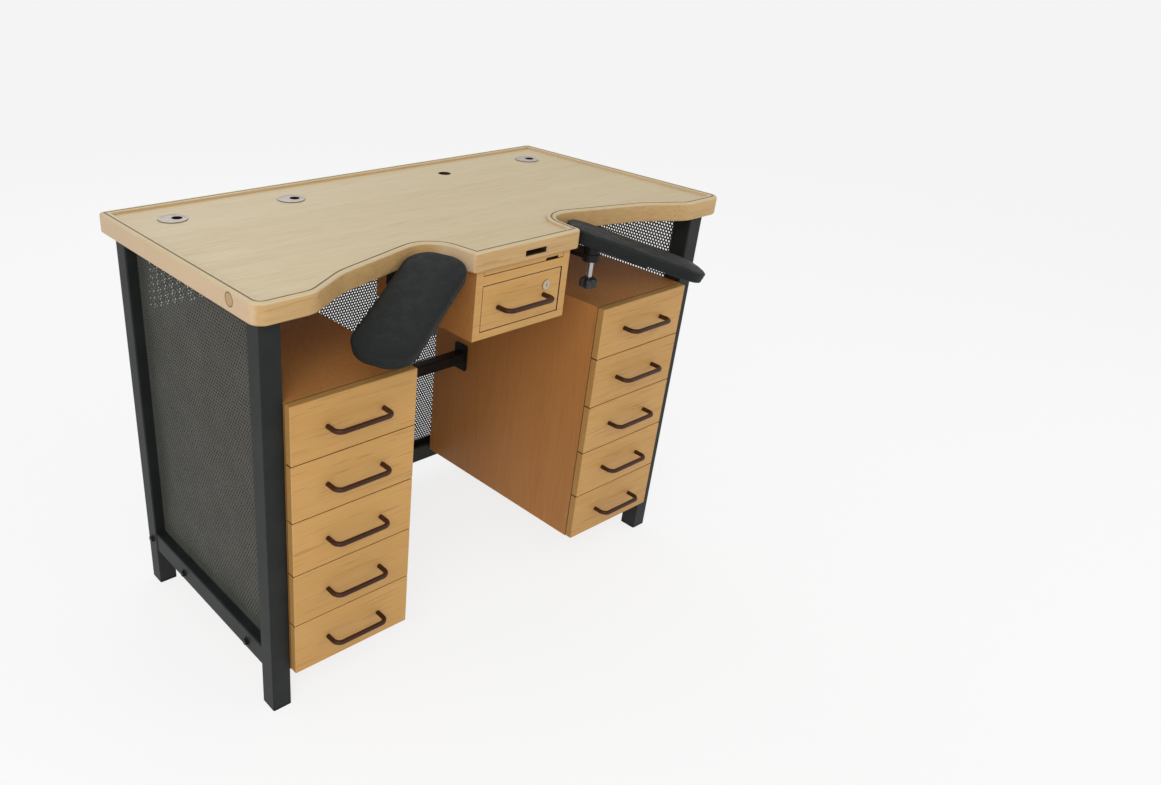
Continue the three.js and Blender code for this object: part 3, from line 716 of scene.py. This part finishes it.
lamps = {
    "key": {"at": (-2.7, -2.3, 2.5), "size": 2.4, "watts": 62.0},
    "fill": {"at": (2.4, -2.6, 1.8), "size": 2.6, "watts": 16.0},
    "rim": {"at": (0.8, 2.8, 2.8), "size": 2.2, "watts": 14.0},
}


def addLamps():
    for name, spot in lamps.items():
        lamp = bpy.data.lights.new(name, "AREA")
        lamp.shape = "DISK"
        lamp.size, lamp.energy = spot["size"], spot["watts"]
        holder = bpy.data.objects.new(name, lamp)
        holder.location = spot["at"]
        aim = Vector(studio["aim"]) - holder.location
        holder.rotation_euler = aim.to_track_quat("-Z", "Y").to_euler()
        scene.collection.objects.link(holder)


addCamera()
addFloor()
addSky()
addLamps()
print("camera, floor and lamps set")


# Worktop: the slab with its two arm cut-outs, and a raised lip with a fine groove along it

worktopSize = {
    "wing": 0.114, "tongue": 0.139, "tongueCorner": 0.008, "lean": 0.013, "depth": 0.119, "inner": 0.054,
    "kneeRun": 0.091, "kneeDepth": 0.052, "kneeBow": 0.150, "mouthBow": 0.060,
    "frontCorner": 0.026, "backCorner": 0.012, "edge": 0.005, "lip": 0.020, "lipHeight": 0.005,
    "lipEase": 0.002, "edgeSteps": 5,
}


def worktopCorners():
    size = worktopSize
    halfX, halfY = (topHigh.x - topLow.x) / 2, (topHigh.y - topLow.y) / 2
    mouthX = halfX - size["wing"]
    half = [
        (size["tongue"], -halfY, size["tongueCorner"]),
        (size["tongue"] + size["lean"], size["depth"] - halfY, size["inner"]),
        (mouthX - size["kneeRun"], size["kneeDepth"] - halfY, size["kneeBow"]),
        (mouthX, -halfY, size["mouthBow"]),
        (halfX, -halfY, size["frontCorner"]),
        (halfX, halfY, size["backCorner"]),
    ]
    return half + [(-x, y, r) for x, y, r in reversed(half)]


def worktopProfile():
    size = worktopSize
    thick = topHigh.z - topLow.z
    edge, ease, steps = size["edge"], size["lipEase"], size["edgeSteps"]
    floor = thick - size["lipHeight"]
    grooveStart, grooveEnd = lipGroove["inset"], lipGroove["inset"] + lipGroove["width"]
    grooveWall, grooveFloor = lipGroove["wall"], thick - lipGroove["depth"]
    profile = []
    for k in range(steps + 1):
        draw, rise = quarterArc(1 - k / steps)
        profile.append((edge * draw, edge * (1 - rise)))
    for k in range(steps + 1):
        draw, rise = quarterArc(k / steps)
        profile.append((edge * draw, thick - edge * (1 - rise)))
    profile += [
        (grooveStart, thick), (grooveStart + grooveWall, grooveFloor),
        (grooveEnd - grooveWall, grooveFloor), (grooveEnd, thick),
    ]
    for k in range(steps + 1):
        draw, rise = quarterArc(1 - k / steps)
        profile.append((size["lip"] - ease * draw, thick - ease * (1 - rise)))
    return profile + [(size["lip"], floor), (size["lip"] + ease, floor)]


def boxCutter(low, high):
    deselectAll()
    bpy.ops.mesh.primitive_cube_add(size=1, location=(Vector(low) + Vector(high)) / 2)
    bpy.context.object.scale = Vector(high) - Vector(low)
    return bpy.context.object


def roundCutter(x, y, radius, low, high, steps):
    deselectAll()
    bpy.ops.mesh.primitive_cylinder_add(
        vertices=steps, radius=radius, depth=high - low, location=(x, y, (low + high) / 2))
    return bpy.context.object


def makeWorktop():
    corners = worktopCorners()
    rings = []
    for inset, height in worktopProfile():
        outline = filletOutline(corners, inset)
        rings.append([(x + benchMiddle.x, y + benchMiddle.y, topLow.z + height) for x, y in outline])
    slab = loftRings("worktopSlab", rings)
    grommetMiddles = [sum(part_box(n), Vector()) / 2 for n in nodes if n.startswith("grommet_")]
    holes = [(middle.x, middle.y, cableHole["bore"]) for middle in grommetMiddles]
    holes.append((cableHole["x"], cableY, cableHole["radius"]))
    low, high = topLow.z - cutPast, topHigh.z + cutPast
    cutters = [roundCutter(x, y, radius, low, high, cableHole["steps"]) for x, y, radius in holes]
    pinZ = topHigh.z - pinSlot["belowTop"]
    halfW, halfH = pinSlot["width"] / 2, pinSlot["height"] / 2
    cutters.append(boxCutter(
        (pinSlot["offset"] - halfW, topLow.y - cutPast, pinZ - halfH),
        (pinSlot["offset"] + halfW, topLow.y + pinSlot["depth"], pinZ + halfH)))
    cutAway(slab, cutters)
    settle(slab, 30)
    finishPiece(slab, beechTop, "frame", "beech_top", "worktop")


makeWorktop()
print("worktop made")


# Grommets: a dished silver cap with a wire hole beside its middle

grommetShape = {
    "rim": 0.030, "rimEase": [(0.0, 0.0009), (0.0006, 0.0002), (0.0014, 0.0)],  # inwards, down
    "dish": 0.0245, "dishSlope": 0.001, "dishDepth": 0.0008,
    "flat": 0.010, "hole": 0.011, "offset": 0.009, "clear": 0.0003, "steps": 48,
}


def makeGrommet(node):
    low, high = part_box(node)
    middle = (low + high) / 2
    shape = grommetShape
    seat = topHigh.z - worktopSize["lipHeight"] + shape["clear"]
    collar = cableHole["bore"] - shape["clear"]
    top, dishFloor = high.z, high.z - shape["dishDepth"]
    rim = [(shape["rim"] - inward, top - down) for inward, down in shape["rimEase"]]
    profile = [
        (collar, low.z), (collar, seat), (shape["rim"], seat), *rim,
        (shape["dish"] + shape["dishSlope"], top), (shape["dish"], dishFloor), (shape["flat"], dishFloor),
    ]
    cap = loftRings("cap_" + node, roundRings(profile, shape["steps"]))
    cap.data.transform(Matrix.Translation((middle.x, middle.y, 0)))
    holeX = middle.x + shape["offset"]
    hole = roundCutter(holeX, middle.y, shape["hole"], low.z - cutPast, top + cutPast, shape["steps"])
    cutAway(cap, [hole])
    settle(cap, 30)
    finishPiece(cap, silverCap, "frame", "silver_plastic", node)


for grommetNode in ("grommet_left", "grommet_middle", "grommet_right"):
    makeGrommet(grommetNode)
print("grommets made")


# Perforated sheet: rows of six-sided holes set half a pitch over, in a plain border with folded flanges

sheetHoles = {
    "pitch": 0.008, "hole": 0.0026, "margin": 0.013, "thick": 0.0015, "flange": 0.0155, "fieldShare": 0.8,
}
holeCell = sheetHoles["pitch"] / math.sqrt(3)
rowRise = 1.5 * holeCell


# A block of holes that starts at the origin and is centred in height
def holeField(name, across, rowPairs):
    deselectAll()
    bpy.ops.mesh.primitive_circle_add(vertices=6, radius=holeCell, fill_type="NGON")
    field = newPiece(name)
    bpy.ops.object.mode_set(mode="EDIT")
    bpy.ops.mesh.select_mode(type="FACE")
    bpy.ops.mesh.select_all(action="SELECT")
    bpy.ops.mesh.inset(thickness=(holeCell - sheetHoles["hole"]) * math.sqrt(3) / 2)
    bpy.ops.mesh.delete(type="FACE")
    bpy.ops.object.mode_set(mode="OBJECT")
    pitch = sheetHoles["pitch"]
    for count, (dx, dy) in ((across, (pitch, 0)), (2, (pitch / 2, rowRise)), (rowPairs, (0, 2 * rowRise))):
        applyModifier(
            field, "ARRAY", count=count, use_relative_offset=False, use_constant_offset=True,
            constant_offset_displace=(dx, dy, 0), use_merge_vertices=True, merge_threshold=10 * touch)
    applyModifier(field, "SOLIDIFY", thickness=sheetHoles["thick"] * sheetHoles["fieldShare"], offset=0)
    field.data.transform(Matrix.Translation((0, (0.5 - rowPairs) * rowRise, 0)))
    return field


def sheetBorder(name, width, height):
    deselectAll()
    bpy.ops.mesh.primitive_plane_add(size=1)
    border = newPiece(name)
    border.data.transform(Matrix.Diagonal((width, height, 1, 1)))
    bpy.ops.object.mode_set(mode="EDIT")
    bpy.ops.mesh.select_mode(type="FACE")
    bpy.ops.mesh.select_all(action="SELECT")
    bpy.ops.mesh.inset(thickness=sheetHoles["margin"])
    bpy.ops.mesh.delete(type="FACE")

    def onRim(vert):
        return abs(vert.co.x) > width / 2 - touch or abs(vert.co.y) > height / 2 - touch

    selectEdges(lambda edge: all(onRim(vert) for vert in edge.verts))
    bpy.ops.mesh.extrude_region_move(TRANSFORM_OT_translate={"value": (0, 0, -sheetHoles["flange"])})
    bpy.ops.mesh.select_all(action="SELECT")
    bpy.ops.mesh.normals_make_consistent(inside=False)
    bpy.ops.object.mode_set(mode="OBJECT")
    applyModifier(border, "SOLIDIFY", thickness=sheetHoles["thick"], offset=-1, use_even_offset=True)
    return border


def makeSheet(node, outward, columns, coat):
    low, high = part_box(node)
    size = high - low
    sideways = abs(outward.x) > 0.5
    width, height = (size.y if sideways else size.x), size.z
    right = Vector((0, 0, 1)).cross(outward)
    turn = Matrix((right, Vector((0, 0, 1)), outward)).transposed().to_4x4()
    face = (low + high) / 2 + outward * (size.x if sideways else size.y) / 2
    border = sheetBorder("border_" + node, width, height)
    border.data.transform(Matrix.Translation(face) @ turn)
    settle(border)
    finishPiece(border, coat, "frame", "perforated_sheet", node)
    pitch = sheetHoles["pitch"]
    across = math.ceil((width - 2 * sheetHoles["margin"]) / pitch + 0.5)
    rowPairs = math.ceil((height - 2 * sheetHoles["margin"] + holeCell / 2) / (2 * rowRise))
    inner = face - outward * sheetHoles["thick"] / 2
    for column in range(columns):
        first, last = across * column // columns, across * (column + 1) // columns
        field = holeField(f"holes_{node}_{column + 1}", last - first, rowPairs)
        offset = (first - (across - 0.5) / 2) * pitch
        field.data.transform(Matrix.Translation(inner + right * offset) @ turn)
        settle(field, 20)
        finishPiece(field, coat, "frame", "perforated_sheet")


# The rear sheet is painted in the darker slate paint as painted shade, and the side sheets in the paler sheet
# paint as painted light
makeSheet("side_panel_left", Vector((-1, 0, 0)), 2, litSheetPaint)
makeSheet("side_panel_right", Vector((1, 0, 0)), 2, litSheetPaint)
makeSheet("rear_panel", Vector((0, 1, 0)), 3, slatePaint)
print("perforated sheets made")


# Rod handles: a U of round rod with easy bends, let into the front

handleShape = {"bend": 0.015, "sides": 6, "arc": 7}


def makeHandle(node):
    low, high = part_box(node)
    rod = (high.z - low.z) / 2
    back, front = high.y, low.y + rod
    middle, reach = (low + high) / 2, (high.x - low.x) / 2 - rod
    bend, arc = handleShape["bend"], handleShape["arc"]
    route = [(-reach, back)]
    for k in range(arc + 1):
        angle = math.pi / 2 * k / arc
        route.append((-reach + bend * (1 - math.cos(angle)), front + bend * (1 - math.sin(angle))))
    route += [(-x, y) for x, y in reversed(route)]
    curve = bpy.data.curves.new("rod_" + node, "CURVE")
    curve.dimensions = "3D"
    curve.bevel_depth, curve.bevel_resolution = rod, handleShape["sides"]
    curve.use_fill_caps = True
    spline = curve.splines.new("POLY")
    spline.points.add(len(route) - 1)
    for point, (x, y) in zip(spline.points, route):
        point.co = (middle.x + x, y, middle.z, 1)
    bar = bpy.data.objects.new("rod_" + node, curve)
    scene.collection.objects.link(bar)
    takeUp(bar)
    bpy.ops.object.convert(target="MESH")
    bar = newPiece("rod_" + node)
    settle(bar, 40)
    finishPiece(bar, brownRod, bodyOf(node), "brown_rod", node)


for handleNode in sorted(n for n in nodes if "handle" in n):
    makeHandle(handleNode)
print("handles made")


# Armrest pads: foam under leatherette, swollen by cloth, with a sewn line low on the side and a piped rim

padShape = {
    "length": 0.305, "width": 0.122, "thick": 0.028, "corner": 0.050, "innerEnd": 0.063, "belowTop": 0.050,
    "tuck": 0.003, "tuckHeight": 0.008, "edge": 0.006, "dome": 0.003, "tilt": 18.0,
    "shrink": 0.0008, "voxel": 0.0035, "cap": 0.0012, "pressure": 1.5, "frames": 12,
    "seamHeight": 0.0085, "seamDepth": 0.0011, "pipeHeight": 0.0205, "pipeOut": 0.0014, "lineHalf": 0.0019,
    "domeRings": (0.35, 0.7, 0.9), "clear": 0.0004, "sideSlope": 0.8,
}
padTurn = {"left": 207.0, "right": -37.0}
padRoll = {"left": -4.0, "right": -2.0}


def padBlank(name):
    shape = padShape
    thick = shape["thick"] - 2 * shape["shrink"]
    shoulder = thick - shape["dome"]
    profile = []
    for k in range(4):
        draw, rise = quarterArc(1 - k / 3)
        profile.append((shape["tuck"] * draw, shape["tuckHeight"] * (1 - rise)))
    for k in range(5):
        draw, rise = quarterArc(k / 4)
        profile.append((shape["edge"] * draw, shoulder - shape["edge"] * (1 - rise)))
    inner = shape["width"] / 2 - shape["edge"] - shape["shrink"]
    for share in shape["domeRings"]:
        profile.append((shape["edge"] + share * inner, shoulder + shape["dome"] * (1 - (1 - share) ** 2)))
    corners = oblong(shape["length"], shape["width"], shape["corner"])
    rings = []
    for inset, height in profile:
        outline = filletOutline(corners, inset + shape["shrink"], 10)
        rings.append([(x, y, height + shape["shrink"]) for x, y in outline])
    return loftRings(name, rings)


def swell(pad):
    shape = padShape
    takeUp(pad)
    pad.data.remesh_voxel_size = shape["voxel"]
    bpy.ops.object.voxel_remesh()
    rest = [v.co.copy() for v in pad.data.vertices]
    cloth = pad.modifiers.new("Cloth", "CLOTH")
    cloth.settings.use_pressure = True
    cloth.settings.uniform_pressure_force = shape["pressure"]
    cloth.settings.effector_weights.gravity = 0
    for step in range(1, shape["frames"] + 1):
        scene.frame_set(step)
    bpy.ops.object.modifier_apply(modifier=cloth.name)
    scene.frame_set(1)
    for vertex, place in zip(pad.data.vertices, rest):
        moved = vertex.co - place
        if moved.length > shape["cap"]:
            moved = moved * (shape["cap"] / moved.length)
        vertex.co = place + moved
        vertex.co.z = min(max(vertex.co.z, shape["clear"]), shape["thick"])


def sewLines(pad):
    shape = padShape
    applyModifier(pad, "SUBSURF", levels=1, render_levels=1)
    normals = [v.normal.copy() for v in pad.data.vertices]
    for vertex, normal in zip(pad.data.vertices, normals):
        if abs(normal.z) > shape["sideSlope"]:
            continue
        seam = (vertex.co.z - shape["seamHeight"]) / shape["lineHalf"]
        pipe = (vertex.co.z - shape["pipeHeight"]) / shape["lineHalf"]
        move = shape["pipeOut"] * math.exp(-pipe * pipe) - shape["seamDepth"] * math.exp(-seam * seam)
        vertex.co += Vector((normal.x, normal.y, 0)) * move


def makePad(side):
    shape = padShape
    node = "armrest_pad_" + side
    pad = padBlank("cushion_" + side)
    swell(pad)
    sewLines(pad)
    pivot = next(j for j in frame["joints"] if j["child"] == "armrest_" + side)["pos_m"]
    seat = topHigh.z - shape["belowTop"]
    lean = Matrix.Rotation(math.radians(shape["tilt"]), 4, "Y")
    swing = Matrix.Rotation(math.radians(padTurn[side]), 4, "Z")
    roll = Matrix.Rotation(math.radians(padRoll[side]), 4, "X")
    slide = Matrix.Translation((shape["length"] / 2 - shape["innerEnd"], 0, 0))
    pad.data.transform(Matrix.Translation((pivot[0], pivot[1], seat)) @ swing @ lean @ roll @ slide)
    settle(pad, 60)
    finishPiece(pad, leatherette, "armrest_" + side, "leatherette", node)


for padSide in sides:
    makePad(padSide)
print("pads made")


# Clamp knobs: a lobed grip with a domed face, on a plated rod

knobShape = {
    "radius": 0.019, "lobes": 5, "lobeDepth": 0.0027, "height": 0.022, "steps": 80,
    "under": [(0.55, 0.0), (0.80, 0.0004), (0.93, 0.0022), (1.0, 0.006)],  # share of the radius, height
    "over": [(1.0, 0.007), (0.94, 0.003), (0.82, 0.001), (0.62, 0.0), (0.42, 0.0)],  # share, drop
    "rod": 0.006, "rodGap": 0.0002, "rodEase": 0.0008, "tipEase": 0.001, "rodSteps": 32,
}


def makeKnob(side):
    node = "armrest_knob_" + side
    low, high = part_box(node)
    middle = (low + high) / 2
    shape = knobShape
    profile = shape["under"] + [(share, shape["height"] - drop) for share, drop in shape["over"]]
    rings = []
    for share, z in profile:
        ring = []
        for k in range(shape["steps"]):
            angle = 2 * math.pi * k / shape["steps"]
            radius = share * (shape["radius"] - shape["lobeDepth"] * (1 - math.cos(shape["lobes"] * angle)))
            ring.append((middle.x + radius * math.cos(angle), middle.y + radius * math.sin(angle), low.z + z))
        rings.append(ring)
    grip = loftRings("grip_" + side, rings)
    finishPiece(grip, blackPlastic, bodyOf(node), "black_plastic", node)
    radius, ease, tip = shape["rod"], shape["rodEase"], shape["tipEase"]
    start = low.z + shape["height"] + shape["rodGap"]
    rodProfile = [
        (radius - ease, start), (radius, start + ease), (radius, high.z - tip), (radius - tip, high.z),
    ]
    rodRings = roundRings(rodProfile, shape["rodSteps"])
    rod = loftRings("rod_knob_" + side, rodRings)
    rod.data.transform(Matrix.Translation((middle.x, middle.y, 0)))
    finishPiece(rod, rodChrome, bodyOf(node), "lock_chrome")


for knobSide in sides:
    makeKnob(knobSide)
print("knobs made")


# Bolts: a hexagon head with a chamfer on a flat washer

boltShape = {
    "head": 0.0075, "headHeight": 0.005, "chamfer": 0.001, "face": 0.82,
    "washer": 0.0095, "washerHeight": 0.0014, "washerSide": 0.7, "washerEase": 0.0006, "washerSteps": 28,
}


def makeBolt(name, place, outward):
    shape = boltShape
    seat = shape["washerHeight"]
    washerProfile = [
        (shape["washer"], 0), (shape["washer"], seat * shape["washerSide"]),
        (shape["washer"] - shape["washerEase"], seat),
    ]
    top = seat + shape["headHeight"]
    headProfile = [
        (shape["head"], seat), (shape["head"], top - shape["chamfer"]), (shape["head"] * shape["face"], top),
    ]
    washer = loftRings("washer", roundRings(washerProfile, shape["washerSteps"]))
    head = loftRings("head", roundRings(headProfile, 6))
    bolt = joinPieces(name, [washer, head])
    turn = Vector((0, 0, 1)).rotation_difference(outward).to_matrix().to_4x4()
    bolt.data.transform(Matrix.Translation(place) @ turn)
    settle(bolt, 20)
    finishPiece(bolt, blackPaint, "frame", "black_paint")


railBolts = {"rear": 0.102, "front": -0.174}  # behind the middle of the worktop
boltDrop = 0.006  # below the middle of the rail
for boltSide, boltSign in sides.items():
    railLow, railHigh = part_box("side_rail_" + boltSide)
    legLow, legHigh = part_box("leg_rear_" + boltSide)
    railZ = (railLow.z + railHigh.z) / 2
    railX, legX = (railLow.x, legLow.x) if boltSign < 0 else (railHigh.x, legHigh.x)
    spots = {name: (railX, benchMiddle.y + behind, railZ - boltDrop) for name, behind in railBolts.items()}
    spots["leg"] = (legX, (legLow.y + legHigh.y) / 2, railZ)
    for boltName, spot in spots.items():
        makeBolt(f"bolt_{boltSide}_{boltName}", Vector(spot), Vector((boltSign, 0, 0)))
print("bolts made")


# The solids that keep their shape get their finishes; every drawer front is its own leaf of veneer

def paint(node, material):
    nodes[node].data.materials.clear()
    nodes[node].data.materials.append(material)


plainFinishes = {
    "leg_": legPaint, "side_rail": slatePaint, "rear_rail": slatePaint, "stretcher": blackPaint,
    "pedestal": veneerSide, "drawer_box": plywood, "centre_housing": veneerHousing,
    "pull_out_tray": veneerTray, "centre_drawer_lock": lockChrome, "armrest_bracket": blackPaint,
    "armrest_block": blackPaint,
}
for nodeName in sorted(nodes):
    for start, material in plainFinishes.items():
        if nodeName.startswith(start):
            paint(nodeName, material)
# Painted shade: the side faces of each drawer front take the front tones darkened to 0.8
leafLook = {"shift": (0.37, 0.0, 0.61), "shadeStep": 0.02, "shades": 3, "side": 0.8}
fronts = sorted(n for n in nodes if n.startswith("drawer_front"))
for leaf, nodeName in enumerate(fronts):
    leafShift = tuple(leaf * c for c in leafLook["shift"])
    leafShade = 1.0 + leafLook["shadeStep"] * (leaf % leafLook["shades"])
    leafFinish = veneerFinish(
        "leaf_" + nodeName, "x", leafShift, leafShade, leafLook["side"], leafGapShade, "front")
    paint(nodeName, leafFinish)
# Painted shade: the centre drawer's sides are darkened to 0.8, with painted shadow lines round its front
paint("centre_drawer", veneerFinish("leafCentre", "x", (2.3, 0.4, 1.7), 1.02, 0.8, drawerGapShade))
print("finishes set")

deselectAll()
bpy.context.view_layer.update()
